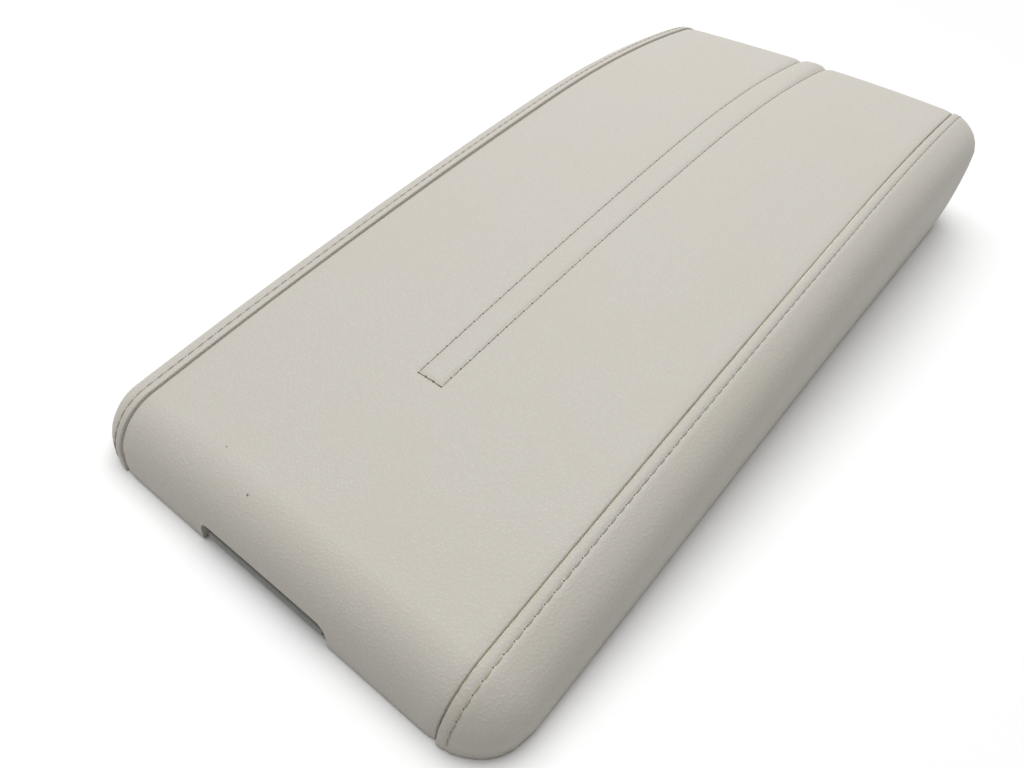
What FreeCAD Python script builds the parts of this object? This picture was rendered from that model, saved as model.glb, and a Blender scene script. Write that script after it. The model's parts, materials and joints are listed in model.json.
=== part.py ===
import FreeCAD, Part
import math
import os

# Car centre-console armrest lid: a leather-covered pad on a moulded core, closed underneath by a liner
# panel, with a finger latch at the front and a sprung pin hinge at the rear.
# Millimetres. X is the width, +Y runs from the latch end to the hinge end, +Z is up, and the origin is the
# middle of the footprint on the surface that the closed lid rests on.

V = FreeCAD.Vector

# Overall form of the padded lid
LENGTH = 394.0            # latch end to hinge end
HALF_WIDTH = 90.0         # half the width, at WIDTH_HEIGHT above the rest surface
WIDTH_HEIGHT = 45.0
CREST_HEIGHT = 66.0       # highest point of the top, on the centre line
CROWN_RADIUS = 1300.0     # sideways crown of the top
NOSE_RADIUS = 20.0        # roll of the latch end
TAIL_RADIUS = 40.0        # roll of the hinge end
SIDE_RADIUS = 18.0        # roll of the long sides
FRONT_RISE_DEG = 11.3     # slope of the top just behind the nose
MIDDLE_RISE_DEG = 6.8     # slope where the front arc meets the crest arc
TAIL_FALL_DEG = 4.3       # slope where the crest arc meets the tail roll
ARC_MEETING_Y = 40.0      # where the front arc meets the crest arc

# Layers, from the outside in
LEATHER = 1.5
FOAM = 6.5
CORE_WALL = 3.0

# Levels above the rest surface
HEM_LEVEL = 0.6           # underside of the turned-in leather hem
FLANGE = 3.0              # thickness of the core's bottom flange
LINER = 2.5               # thickness of the liner panel
HEM_WIDTH = 17.0          # reach of the hem in from the outside
FLANGE_WIDTH = 20.0       # reach of the core's flange in from the outside
LINER_GAP = 0.5           # liner edge to flange edge

# Seams and the stitched centre strip
SEAM_X = 71.0             # where the side panels are sewn to the top panel
SEAM_GROOVE = 1.2         # width of the seam's valley
STITCH_GROOVE = 0.8       # width of the valley under a row of stitches
GROOVE_DEPTH = 0.6
STRIP_START_Y = -125.0    # closed end of the centre strip
STRIP_FRONT_HALF = 5.0    # half width of the strip at its closed end
STRIP_REAR_HALF = 7.0     # half width of the strip at the hinge end

# Core ribs and bosses
RIB = 2.0
RIB_FOOT = 24.0           # level of the ribs' lower edges
RIB_XS = (-36.0, 0.0, 36.0)
RIB_YS = (-90.0, -30.0, 30.0, 90.0)
BOSS_RADIUS = 4.2
PILOT_RADIUS = 1.55
SCREW_INSET = 27.0        # row of liner screws in from the side of the footprint
SCREW_YS = (-148.0, -50.0, 50.0, 150.0)
SCREW_SHANK = 1.5
SCREW_HEAD_RADIUS = 3.4
SCREW_HEAD = 1.7
SCREW_REACH = 10.0        # shank length above the liner's underside
SCREW_HOLE = 1.8          # clearance hole in a panel
RECESS_RADIUS = 1.1       # hexagonal drive recess
RECESS_DEPTH = 1.0

# Rubber bump stops under the liner
STOP_INSET = 27.0         # row of bump stops in from the side of the footprint
STOP_YS = (-100.0, 100.0)
STOP_RADIUS = 6.0
STOP_STEM = 2.4
STOP_STEM_HOLE = 2.5
STOP_BARB = 3.4
STOP_BARB_LENGTH = 3.0

# Finger notch and latch
NOTCH_HALF = 28.0
NOTCH_HEIGHT = 9.5
NOTCH_CORNER = 4.0
LATCH_HALF = 22.5         # half width of the release lever
LATCH_SIDE_GAP = 1.9      # lever to the side of its slot in the liner
LATCH_SLOT_DEPTH = 27.0   # slot in the liner's front edge
LIP_HALF = 25.5           # half width of the lever's finger lip
LIP_DEPTH = 6.0           # flat behind the lip, at the lip's full width
LIP_SETBACK = 0.7         # lever's lip behind the front face
LIP_THICKNESS = 2.5
LIP_LEVEL = 2.6           # underside of the lever's lip
LATCH_PIN_Y = 27.0        # latch pin behind the front face
LATCH_PIN_LEVEL = 10.0
LATCH_PIN_RADIUS = 2.0
RUNNING_GAP = 0.06        # radial clearance of a turning fit
LATCH_HUB = 4.2
LATCH_LUG = 4.0           # thickness of each lug on the liner
LATCH_SPRING_GAP = 6.0    # half the gap in the hub that holds the spring
LATCH_WIRE = 0.5
LATCH_COIL = 3.2
LATCH_SPRING_TURNS = 3
LATCH_SPRING_PITCH = 2.2
LATCH_LOWER_LEG = 9.0
LATCH_UPPER_LEG = 7.0
LATCH_UPPER_DEG = 20.0    # slope of the upper leg
HOOK_XS = (-13.0, 13.0)
HOOK_WIDTH = 6.0
HOOK_FOOT = 1.2           # lowest level of the hooks
HOOK_REACH = 6.4          # hook nose behind the pin

# Hinge
HINGE_PIN_FROM_REAR = 33.0
HINGE_PIN_LEVEL = 14.0
HINGE_PIN_RADIUS = 3.0
HINGE_HALF = 42.0         # half width of the console-side leaf
HINGE_SHEET = 2.5         # sheet thickness of both leaves
BASE_REACH = 52.0         # base plate ahead of the pin
BASE_TAIL = 10.0          # base plate behind the pin
EAR_RADIUS = 8.0
BOLT_RADIUS = 3.3
BOLT_SPACING_X = 52.0
BOLT_SPACING_Y = 26.0
BOLT_FROM_FRONT = 9.0     # first pair of bolt holes behind the base plate's front edge
BUSH_WALL = 1.2
BUSH_FLANGE = 1.0
BUSH_FLANGE_RADIUS = 6.5
ARM_LEVEL = 30.0          # underside of the lid leaf's plate
ARM_REACH = 46.0          # lid leaf's plate ahead of the pin
ARM_TAIL = 6.0
ARM_SCREW_XS = (-20.0, 20.0)
ARM_SCREW_YS = (-38.0, -8.0)   # from the hinge pin
HINGE_WIRE = 0.9
HINGE_COIL = 5.0
HINGE_SPRING_TURNS = 6
HINGE_SPRING_PITCH = 3.0
PIN_HEAD_RADIUS = 5.0
PIN_HEAD = 2.0
CLIP = 1.0
CLIP_RADIUS = 5.5
POCKET_GAP = 4.0          # clearance round the base plate in the liner
FACE_GAP = 0.3            # clearance between faces that pass each other

# Values worked out from those above
FRONT_Y = -LENGTH / 2
REAR_Y = LENGTH / 2
SKIN = LEATHER
PAD = LEATHER + FOAM
SHELL = PAD + CORE_WALL
RIM_LEVEL = HEM_LEVEL + LEATHER
FLANGE_TOP = RIM_LEVEL + FLANGE
LINER_LEVEL = FLANGE_TOP - LINER
LATCH_AXIS_Y = FRONT_Y + LATCH_PIN_Y
HINGE_AXIS_Y = REAR_Y - HINGE_PIN_FROM_REAR
HALF_ANGLE = math.degrees(math.asin(HALF_WIDTH / (CROWN_RADIUS + WIDTH_HEIGHT)))
FOOT_HALF = CROWN_RADIUS * math.sin(math.radians(HALF_ANGLE))
SCREW_XS = (SCREW_INSET - FOOT_HALF, FOOT_HALF - SCREW_INSET)
STOP_XS = (STOP_INSET - FOOT_HALF, FOOT_HALF - STOP_INSET)
DEEP = 30.0               # the form runs this far below the rest surface before it is trimmed
FAR = 2 * LENGTH

os.makedirs("parts", exist_ok=True)


def box(x0, x1, y0, y1, z0, z1):
    return Part.makeBox(x1 - x0, y1 - y0, z1 - z0, V(x0, y0, z0))


def above(level):
    return box(-FAR, FAR, -FAR, FAR, level, FAR)


def cylinder(radius, start, direction, length):
    return Part.makeCylinder(radius, length, start, direction)


def cross_pin(radius, y, z, x0, x1):
    return cylinder(radius, V(x0, y, z), V(1, 0, 0), x1 - x0)


def side_profile(points, x0, x1):
    """Extrudes a closed outline in Y and Z across the width."""
    wire = Part.makePolygon([V(x0, y, z) for y, z in points + points[:1]])
    return Part.Face(wire).extrude(V(x1 - x0, 0, 0))


def plan_profile(points, z0, z1):
    """Extrudes a closed outline in X and Y upwards."""
    wire = Part.makePolygon([V(x, y, z0) for x, y in points + points[:1]])
    return Part.Face(wire).extrude(V(0, 0, z1 - z0))


def arc(centre, radius, from_deg, to_deg):
    """Arc in the plane x = 0, with angles measured from +Y towards +Z."""
    def point(deg):
        turn = math.radians(deg)
        return V(0, centre[0] + radius * math.cos(turn), centre[1] + radius * math.sin(turn))
    return Part.Arc(point(from_deg), point((from_deg + to_deg) / 2), point(to_deg)).toShape()


def line(y0, z0, y1, z1):
    return Part.LineSegment(V(0, y0, z0), V(0, y1, z1)).toShape()


def long_profile(inset):
    """The lid's outline along its centre line, moved in by inset."""
    rise, middle, fall = (math.radians(a) for a in (FRONT_RISE_DEG, MIDDLE_RISE_DEG, TAIL_FALL_DEG))
    nose_end = FRONT_Y + NOSE_RADIUS * (1 - math.sin(rise))
    tail_start = REAR_Y - TAIL_RADIUS * (1 - math.sin(fall))
    front_radius = (ARC_MEETING_Y - nose_end) / (math.sin(rise) - math.sin(middle))
    crest_radius = (tail_start - ARC_MEETING_Y) / (math.sin(middle) + math.sin(fall))
    crest = (ARC_MEETING_Y + crest_radius * math.sin(middle), CREST_HEIGHT - crest_radius)
    spread = front_radius - crest_radius
    front = (crest[0] + spread * math.sin(middle), crest[1] - spread * math.cos(middle))
    nose_drop = front_radius - NOSE_RADIUS
    nose = (FRONT_Y + NOSE_RADIUS, front[1] + nose_drop * math.cos(rise))
    tail_drop = crest_radius - TAIL_RADIUS
    tail = (REAR_Y - TAIL_RADIUS, crest[1] + tail_drop * math.cos(fall))
    low = -DEEP + inset
    edges = [
        line(FRONT_Y + inset, low, FRONT_Y + inset, nose[1]),
        arc(nose, NOSE_RADIUS - inset, 180, 90 + FRONT_RISE_DEG),
        arc(front, front_radius - inset, 90 + FRONT_RISE_DEG, 90 + MIDDLE_RISE_DEG),
        arc(crest, crest_radius - inset, 90 + MIDDLE_RISE_DEG, 90 - TAIL_FALL_DEG),
        arc(tail, TAIL_RADIUS - inset, 90 - TAIL_FALL_DEG, 0),
        line(REAR_Y - inset, tail[1], REAR_Y - inset, low),
        line(REAR_Y - inset, low, FRONT_Y + inset, low),
    ]
    return Part.Wire(Part.__sortEdges__(edges))


def form(inset):
    """The lid's padded form, moved in by inset: the long profile swung across the crown, with rolled sides."""
    half = HALF_ANGLE - math.degrees(inset / (CROWN_RADIUS + WIDTH_HEIGHT))
    axis_point, axis = V(0, 0, -CROWN_RADIUS), V(0, 1, 0)
    face = Part.Face(long_profile(inset))
    face.rotate(axis_point, axis, -half)
    solid = face.revolve(axis_point, axis, 2 * half)
    rolled = []
    for side in solid.Faces:
        if isinstance(side.Surface, Part.Plane) and abs(side.normalAt(0, 0).x) > 0.9:
            rolled += [e for e in side.Edges if e.BoundBox.ZMax > 0]
    return solid.makeFillet(SIDE_RADIUS - inset, rolled)


def foot_prism(inset, z0, z1):
    """A rounded rectangle that follows the lid's footprint, moved in by inset."""
    corner = max(SIDE_RADIUS - inset, CORE_WALL)
    half = FOOT_HALF - inset
    block = box(-half, half, FRONT_Y + inset, REAR_Y - inset, z0, z1)
    return block.makeFillet(corner, [e for e in block.Edges if abs(e.tangentAt(e.FirstParameter).z) > 0.9])


def notch_tool(grow):
    """The finger notch in the front rim, grown by the leather that lines it."""
    half, top = NOTCH_HALF + grow, NOTCH_HEIGHT + grow
    block = box(-half, half, FRONT_Y - NOSE_RADIUS, FRONT_Y + FLANGE_WIDTH + LINER_GAP, -DEEP, top)
    upper = [e for e in block.Edges if abs(e.tangentAt(e.FirstParameter).y) > 0.9 and e.BoundBox.ZMin > 0]
    return block.makeFillet(NOTCH_CORNER + grow, upper)


def hinge_cut():
    """Room behind the hinge for the hem and flange to swing clear of the base plate."""
    half = HINGE_HALF + POCKET_GAP
    return box(-half, half, HINGE_AXIS_Y, REAR_Y - SHELL, -DEEP, FLANGE_TOP + FACE_GAP)


def groove_band(outer, width, points):
    """A shallow valley in the surface along a line of plan points."""
    (x0, y0), (x1, y1) = points
    along = V(x1 - x0, y1 - y0, 0).normalize()
    side = V(-along.y, along.x, 0) * (width / 2)
    corners = [(x0 + side.x, y0 + side.y), (x1 + side.x, y1 + side.y),
               (x1 - side.x, y1 - side.y), (x0 - side.x, y0 - side.y)]
    return outer.common(plan_profile(corners, HEM_LEVEL, FAR / 2))


def screw(x, y, under, reach):
    """Pan-head screw driven upwards, with its head under the level given."""
    shank = cylinder(SCREW_SHANK, V(x, y, under), V(0, 0, 1), reach)
    head = cylinder(SCREW_HEAD_RADIUS, V(x, y, under - SCREW_HEAD), V(0, 0, 1), SCREW_HEAD)
    rim = [e for e in head.Edges if abs(e.BoundBox.ZMax - (under - SCREW_HEAD)) < 1e-6]
    head = head.makeFillet(SCREW_HEAD / 2, rim)
    corners = [(x + RECESS_RADIUS * math.cos(math.radians(a)), y + RECESS_RADIUS * math.sin(math.radians(a)))
               for a in range(0, 360, 60)]
    recess = plan_profile(corners, under - SCREW_HEAD, under - SCREW_HEAD + RECESS_DEPTH)
    return head.fuse(shank).removeSplitter().cut(recess)


def torsion_spring(y, z, coil, wire, turns, pitch, lower, upper):
    """Torsion spring round a cross pin. lower and upper are (slope in degrees, leg length) of its two legs."""
    sweep = 180 - lower[0] - upper[0] + 360 * turns
    height = pitch * sweep / 360
    helix = Part.makeHelix(pitch, height, coil)
    helix.rotate(V(0, 0, 0), V(0, 1, 0), 90)
    helix.rotate(V(0, 0, 0), V(1, 0, 0), lower[0])
    helix.translate(V(-height / 2, y, z))
    first, last = helix.Edges[0], helix.Edges[-1]
    start, finish = first.valueAt(first.FirstParameter), last.valueAt(last.LastParameter)
    begin = first.tangentAt(first.FirstParameter)
    end = last.tangentAt(last.LastParameter)
    leg_in = Part.makeLine(start - begin * lower[1], start)
    leg_out = Part.makeLine(finish, finish + end * upper[1])
    path = Part.Wire([leg_in] + helix.Edges + [leg_out])
    normal = begin.cross(V(1, 0, 0)).normalize()
    across = begin.cross(normal).normalize()
    ring = [start - begin * lower[1] + normal * (wire * math.cos(a)) + across * (wire * math.sin(a))
            for a in (math.radians(d) for d in range(0, 360, 60))]
    section = Part.makePolygon(ring + ring[:1])
    pipe = Part.BRepOffsetAPI.MakePipeShell(path)
    pipe.setBiNormalMode(V(1, 0, 0))
    pipe.add(section)
    pipe.build()
    pipe.makeSolid()
    return Part.Solid(pipe.shape())


def save(name, shape):
    """Checks and writes one sub-part."""
    shape = shape.removeSplitter() if len(shape.Solids) == 1 else shape
    if not shape.isValid() or not shape.Solids:
        raise RuntimeError(name + " is not a sound solid")
    shape.exportStep("parts/" + name + ".step")
    print(name, len(shape.Solids), "solid(s)", len(shape.Faces), "faces", round(shape.Volume / 1000, 2), "cm3")


OUTER = form(0)
UNDER_LEATHER = form(SKIN)
UNDER_FOAM = form(PAD)
INSIDE = form(SHELL)


def make_covers():
    """The sewn cover: top panel and two side panels, turned in under the rim and into the finger notch."""
    skin = OUTER.common(above(HEM_LEVEL)).cut(UNDER_LEATHER.common(above(RIM_LEVEL)))
    skin = skin.cut(foot_prism(HEM_WIDTH, -DEEP, RIM_LEVEL)).cut(notch_tool(0)).cut(hinge_cut())
    lining = notch_tool(LEATHER).cut(notch_tool(0)).common(UNDER_LEATHER).common(above(RIM_LEVEL)).cut(INSIDE)
    skin = skin.fuse(lining)
    valley = OUTER.cut(form(GROOVE_DEPTH))
    rear_half, rear = STRIP_REAR_HALF, REAR_Y + TAIL_RADIUS
    bands = [
        (STITCH_GROOVE, ((STRIP_FRONT_HALF, STRIP_START_Y), (rear_half, rear))),
        (STITCH_GROOVE, ((-STRIP_FRONT_HALF, STRIP_START_Y), (-rear_half, rear))),
        (STITCH_GROOVE, ((-STRIP_FRONT_HALF, STRIP_START_Y), (STRIP_FRONT_HALF, STRIP_START_Y))),
        (SEAM_GROOVE, ((SEAM_X, FRONT_Y - NOSE_RADIUS), (SEAM_X, rear))),
        (SEAM_GROOVE, ((-SEAM_X, FRONT_Y - NOSE_RADIUS), (-SEAM_X, rear))),
    ]
    for width, points in bands:
        skin = skin.cut(groove_band(valley, width, points))
    save("top_cover", skin.common(box(-SEAM_X, SEAM_X, -FAR, FAR, -DEEP, FAR)))
    save("left_side_cover", skin.common(box(-FAR, -SEAM_X, -FAR, FAR, -DEEP, FAR)))
    save("right_side_cover", skin.common(box(SEAM_X, FAR, -FAR, FAR, -DEEP, FAR)))


def make_foam():
    foam = UNDER_LEATHER.cut(UNDER_FOAM).common(above(RIM_LEVEL))
    save("foam_pad", foam.cut(notch_tool(LEATHER)))


def screw_places():
    return [(x, y) for x in SCREW_XS for y in SCREW_YS]


def arm_screw_places():
    return [(x, HINGE_AXIS_Y + dy) for x in ARM_SCREW_XS for dy in ARM_SCREW_YS]


def make_core():
    """Moulded core: outer shell, bottom flange, ribs under the roof, and bosses for the liner and the hinge."""
    shell = UNDER_FOAM.cut(INSIDE).common(above(RIM_LEVEL))
    rim = UNDER_FOAM.common(box(-FAR, FAR, -FAR, FAR, RIM_LEVEL, FLANGE_TOP))
    core = shell.fuse(rim.cut(foot_prism(FLANGE_WIDTH, -DEEP, FAR)))
    core = core.cut(notch_tool(LEATHER)).cut(hinge_cut())
    roof_space = UNDER_FOAM.common(above(RIB_FOOT))
    arm_top = ARM_LEVEL + HINGE_SHEET
    arm_room = box(-HINGE_HALF, HINGE_HALF, HINGE_AXIS_Y - ARM_REACH - POCKET_GAP, REAR_Y, -DEEP, arm_top)
    ribs = [box(x - RIB / 2, x + RIB / 2, FRONT_Y, REAR_Y - SHELL, RIB_FOOT, FAR / 2) for x in RIB_XS]
    ribs += [box(-FOOT_HALF, FOOT_HALF, y - RIB / 2, y + RIB / 2, RIB_FOOT, FAR / 2) for y in RIB_YS]
    for rib in ribs:
        core = core.fuse(rib.common(roof_space).cut(arm_room))
    up = V(0, 0, 1)
    bosses = [(x, y, FLANGE_TOP) for x, y in screw_places()]
    bosses += [(x, y, arm_top) for x, y in arm_screw_places()]
    for x, y, foot in bosses:
        core = core.fuse(cylinder(BOSS_RADIUS, V(x, y, foot), up, FAR / 2).common(UNDER_FOAM))
    for x, y, foot in bosses:
        core = core.cut(cylinder(PILOT_RADIUS, V(x, y, foot), up, SCREW_REACH))
    save("core_shell", core)


def latch_lug(x0):
    """Lug on the liner that carries one end of the latch pin."""
    round_top = cross_pin(LATCH_HUB + LATCH_PIN_RADIUS / 2, LATCH_AXIS_Y, LATCH_PIN_LEVEL, x0, x0 + LATCH_LUG)
    half = LATCH_HUB + LATCH_PIN_RADIUS / 2
    post = box(x0, x0 + LATCH_LUG, LATCH_AXIS_Y - half, LATCH_AXIS_Y + half, FLANGE_TOP, LATCH_PIN_LEVEL)
    return round_top.common(above(FLANGE_TOP)).fuse(post)


def make_liner():
    """Flat panel that closes the underside, slotted for the latch and open round the hinge."""
    edge = FLANGE_WIDTH + LINER_GAP
    liner = foot_prism(edge, LINER_LEVEL, FLANGE_TOP)
    slot_half = LATCH_HALF + LATCH_SIDE_GAP
    slot_end = FRONT_Y + edge + LATCH_SLOT_DEPTH
    liner = liner.cut(box(-slot_half, slot_half, FRONT_Y, slot_end, -DEEP, FAR))
    pocket_half = HINGE_HALF + POCKET_GAP
    pocket_front = HINGE_AXIS_Y - BASE_REACH - POCKET_GAP
    liner = liner.cut(box(-pocket_half, pocket_half, pocket_front, REAR_Y, -DEEP, FAR))
    for x in (slot_half, -slot_half - LATCH_LUG):
        liner = liner.fuse(latch_lug(x))
    reach = slot_half + LATCH_LUG
    liner = liner.cut(cross_pin(LATCH_PIN_RADIUS, LATCH_AXIS_Y, LATCH_PIN_LEVEL, -reach, reach))
    holes = [(x, y, SCREW_HOLE) for x, y in screw_places()]
    holes += [(x, y, STOP_STEM_HOLE) for x in STOP_XS for y in STOP_YS]
    for x, y, radius in holes:
        liner = liner.cut(cylinder(radius, V(x, y, -DEEP), V(0, 0, 1), FAR))
    save("liner_panel", liner)


def make_screws():
    driven = [screw(x, y, LINER_LEVEL, SCREW_REACH) for x, y in screw_places()]
    save("liner_screws", Part.makeCompound(driven))
    driven = [screw(x, y, ARM_LEVEL, SCREW_REACH) for x, y in arm_screw_places()]
    save("hinge_screws", Part.makeCompound(driven))


def make_bump_stops():
    """Rubber stops pushed into the liner; the closed lid rests on them."""
    for y, end in zip(STOP_YS, ("front", "rear")):
        for x, hand in zip(STOP_XS, ("left", "right")):
            up = V(0, 0, 1)
            dome = cylinder(STOP_RADIUS, V(x, y, 0), up, LINER_LEVEL)
            dome = dome.makeFillet(LINER_LEVEL / 2, [e for e in dome.Edges if e.BoundBox.ZMax < LINER_LEVEL / 4])
            stem = cylinder(STOP_STEM, V(x, y, LINER_LEVEL), up, LINER)
            barb = Part.makeCone(STOP_BARB, STOP_STEM / 2, STOP_BARB_LENGTH, V(x, y, FLANGE_TOP), up)
            save("bump_stop_" + end + "_" + hand, dome.fuse(stem).fuse(barb))


def make_latch():
    """Release lever with its finger lip and two hooks, its pin, and the spring that holds it down."""
    lip_y = FRONT_Y + LIP_SETBACK
    half_lip = LIP_THICKNESS / 2
    y, z = LATCH_AXIS_Y, LATCH_PIN_LEVEL
    lip = cross_pin(half_lip, lip_y + half_lip, LIP_LEVEL + half_lip, -LIP_HALF, LIP_HALF)
    lip = lip.fuse(box(-LIP_HALF, LIP_HALF, lip_y + half_lip, lip_y + LIP_DEPTH, LIP_LEVEL, LIP_LEVEL + LIP_THICKNESS))
    paddle = side_profile([
        (lip_y + half_lip, LIP_LEVEL),
        (lip_y + half_lip, LIP_LEVEL + LIP_THICKNESS),
        (y - LATCH_HUB, z - LATCH_PIN_RADIUS / 2),
        (y, z),
        (y, z - LATCH_HUB),
        (y - LATCH_HUB, LIP_LEVEL + half_lip / 2),
    ], -LATCH_HALF, LATCH_HALF)
    lever = lip.fuse(paddle).fuse(cross_pin(LATCH_HUB, y, z, -LATCH_HALF, LATCH_HALF))
    gap = LATCH_SPRING_GAP
    floor = z - LATCH_COIL - LATCH_WIRE - FACE_GAP
    lever = lever.cut(box(-gap, gap, y - LATCH_LOWER_LEG - 2 * LATCH_WIRE, y + 2 * LATCH_HUB, floor, 2 * z))
    back = y - LATCH_HUB + LATCH_PIN_RADIUS / 2
    front = y + LATCH_HUB - LATCH_PIN_RADIUS / 2
    hook = [(back, z), (front, z), (front, HOOK_FOOT + LATCH_PIN_RADIUS), (y + HOOK_REACH, HOOK_FOOT + LATCH_PIN_RADIUS),
            (y + HOOK_REACH, HOOK_FOOT + LATCH_PIN_RADIUS / 2), (front, HOOK_FOOT), (back, HOOK_FOOT)]
    for x in HOOK_XS:
        lever = lever.fuse(side_profile(hook, x - HOOK_WIDTH / 2, x + HOOK_WIDTH / 2))
    lever = lever.cut(cross_pin(LATCH_PIN_RADIUS + RUNNING_GAP, y, z, -LATCH_HALF, LATCH_HALF))
    save("latch_lever", lever)
    reach = LATCH_HALF + LATCH_SIDE_GAP + LATCH_LUG
    save("latch_pin", cross_pin(LATCH_PIN_RADIUS, y, z, -reach, reach))


def make_latch_spring():
    """Its lower leg presses down on the lever and its upper leg pushes against the core's roof."""
    spring = torsion_spring(LATCH_AXIS_Y, LATCH_PIN_LEVEL, LATCH_COIL, LATCH_WIRE, LATCH_SPRING_TURNS,
                            LATCH_SPRING_PITCH, (0, LATCH_LOWER_LEG), (LATCH_UPPER_DEG, LATCH_UPPER_LEG))
    save("latch_spring", spring)


def ear(x0, plate_level, front_y):
    """Ear of a hinge leaf, running from its plate to the pin."""
    y, z = HINGE_AXIS_Y, HINGE_PIN_LEVEL
    boss = cross_pin(EAR_RADIUS, y, z, x0, x0 + HINGE_SHEET)
    web = side_profile([(y + EAR_RADIUS, z), (y + EAR_RADIUS, plate_level), (front_y, plate_level),
                        (y - EAR_RADIUS, z)], x0, x0 + HINGE_SHEET)
    return boss.fuse(web)


def make_hinge():
    """Console-side leaf, lid-side leaf, pin, bushes, clip and counterbalance spring."""
    y, z = HINGE_AXIS_Y, HINGE_PIN_LEVEL
    front = y - BASE_REACH
    base = box(-HINGE_HALF, HINGE_HALF, front, y + BASE_TAIL, 0, HINGE_SHEET)
    corners = [e for e in base.Edges if abs(e.tangentAt(e.FirstParameter).z) > 0.9 and e.BoundBox.YMax < y]
    base = base.makeFillet(EAR_RADIUS, corners)
    for x in (-HINGE_HALF, HINGE_HALF - HINGE_SHEET):
        base = base.fuse(ear(x, HINGE_SHEET / 2, y - 2 * EAR_RADIUS))
    bush = HINGE_PIN_RADIUS + BUSH_WALL
    base = base.cut(cross_pin(bush, y, z, -HINGE_HALF, HINGE_HALF))
    first = front + BOLT_FROM_FRONT
    for x in (-BOLT_SPACING_X / 2, BOLT_SPACING_X / 2):
        for hole_y in (first, first + BOLT_SPACING_Y):
            base = base.cut(cylinder(BOLT_RADIUS, V(x, hole_y, -DEEP), V(0, 0, 1), 2 * DEEP))
    save("hinge_base", base)

    arm_half = HINGE_HALF - HINGE_SHEET - BUSH_FLANGE - FACE_GAP
    arm = box(-arm_half, arm_half, y - ARM_REACH, y + ARM_TAIL, ARM_LEVEL, ARM_LEVEL + HINGE_SHEET)
    for x in (-arm_half, arm_half - HINGE_SHEET):
        arm = arm.fuse(ear(x, ARM_LEVEL + HINGE_SHEET / 2, y - ARM_REACH / 2))
    for x, hole_y in arm_screw_places():
        arm = arm.cut(cylinder(SCREW_HOLE, V(x, hole_y, 0), V(0, 0, 1), FAR))
    save("hinge_arm", arm.cut(cross_pin(HINGE_PIN_RADIUS + RUNNING_GAP, y, z, -arm_half, arm_half)))

    inner = HINGE_HALF - HINGE_SHEET
    for side, name in ((-1, "hinge_bush_left"), (1, "hinge_bush_right")):
        sleeve = cross_pin(bush, y, z, *sorted((side * inner, side * HINGE_HALF)))
        collar = cross_pin(BUSH_FLANGE_RADIUS, y, z, *sorted((side * (inner - BUSH_FLANGE), side * inner)))
        bore = cross_pin(HINGE_PIN_RADIUS, y, z, *sorted((side * (inner - BUSH_FLANGE), side * HINGE_HALF)))
        save(name, sleeve.fuse(collar).cut(bore))

    outer = HINGE_HALF + CLIP
    pin = cross_pin(HINGE_PIN_RADIUS, y, z, -HINGE_HALF, outer + CLIP)
    head = cross_pin(PIN_HEAD_RADIUS, y, z, -HINGE_HALF - PIN_HEAD, -HINGE_HALF)
    neck = HINGE_PIN_RADIUS - CLIP / 2
    groove = cross_pin(HINGE_PIN_RADIUS, y, z, HINGE_HALF, outer).cut(cross_pin(neck, y, z, HINGE_HALF, outer))
    save("hinge_pin", pin.fuse(head).cut(groove))

    ring = cross_pin(CLIP_RADIUS, y, z, HINGE_HALF, outer).cut(cross_pin(neck, y, z, HINGE_HALF, outer))
    save("pin_clip", ring.cut(box(HINGE_HALF, outer, y - neck, y + neck, z, z + 2 * CLIP_RADIUS)))


def make_hinge_spring():
    """Its lower leg bears on the base plate and its upper leg under the lid leaf."""
    low_deg, high_deg = 20, 25
    low, high = math.radians(low_deg), math.radians(high_deg)
    drop = HINGE_PIN_LEVEL - HINGE_COIL * math.cos(low) - HINGE_SHEET - HINGE_WIRE - FACE_GAP
    climb = ARM_LEVEL - HINGE_WIRE - FACE_GAP - HINGE_PIN_LEVEL - HINGE_COIL * math.cos(high)
    spring = torsion_spring(HINGE_AXIS_Y, HINGE_PIN_LEVEL, HINGE_COIL, HINGE_WIRE, HINGE_SPRING_TURNS,
                            HINGE_SPRING_PITCH, (low_deg, drop / math.sin(low)), (high_deg, climb / math.sin(high)))
    save("hinge_spring", spring)


make_covers()
make_foam()
make_core()
make_liner()
make_screws()
make_bump_stops()
make_latch()
make_latch_spring()
make_hinge()
make_hinge_spring()
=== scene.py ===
"""Dresses a padded car armrest lid: sewn leather covers, stitching, hardware finishes and a pale stage."""

import json
import math

import bmesh
import bpy
from bpy.props import FloatProperty, FloatVectorProperty, PointerProperty
from mathutils import Matrix, Vector


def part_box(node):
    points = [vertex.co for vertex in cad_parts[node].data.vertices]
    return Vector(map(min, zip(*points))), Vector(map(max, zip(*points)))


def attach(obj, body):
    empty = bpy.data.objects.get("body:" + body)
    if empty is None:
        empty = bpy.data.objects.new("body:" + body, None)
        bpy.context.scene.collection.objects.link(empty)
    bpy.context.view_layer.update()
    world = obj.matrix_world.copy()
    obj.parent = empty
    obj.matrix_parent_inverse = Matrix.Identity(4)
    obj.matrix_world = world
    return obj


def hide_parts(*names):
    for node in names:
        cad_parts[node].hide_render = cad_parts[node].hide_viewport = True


bl_info = {
    "name": "Armrest lid",
    "version": (1, 0, 0),
    "blender": (4, 5, 0),
    "location": "3D View > Sidebar > Armrest",
    "description": "Leather covers, stitching and finishes for a hinged armrest lid",
    "category": "Object",
}

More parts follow.
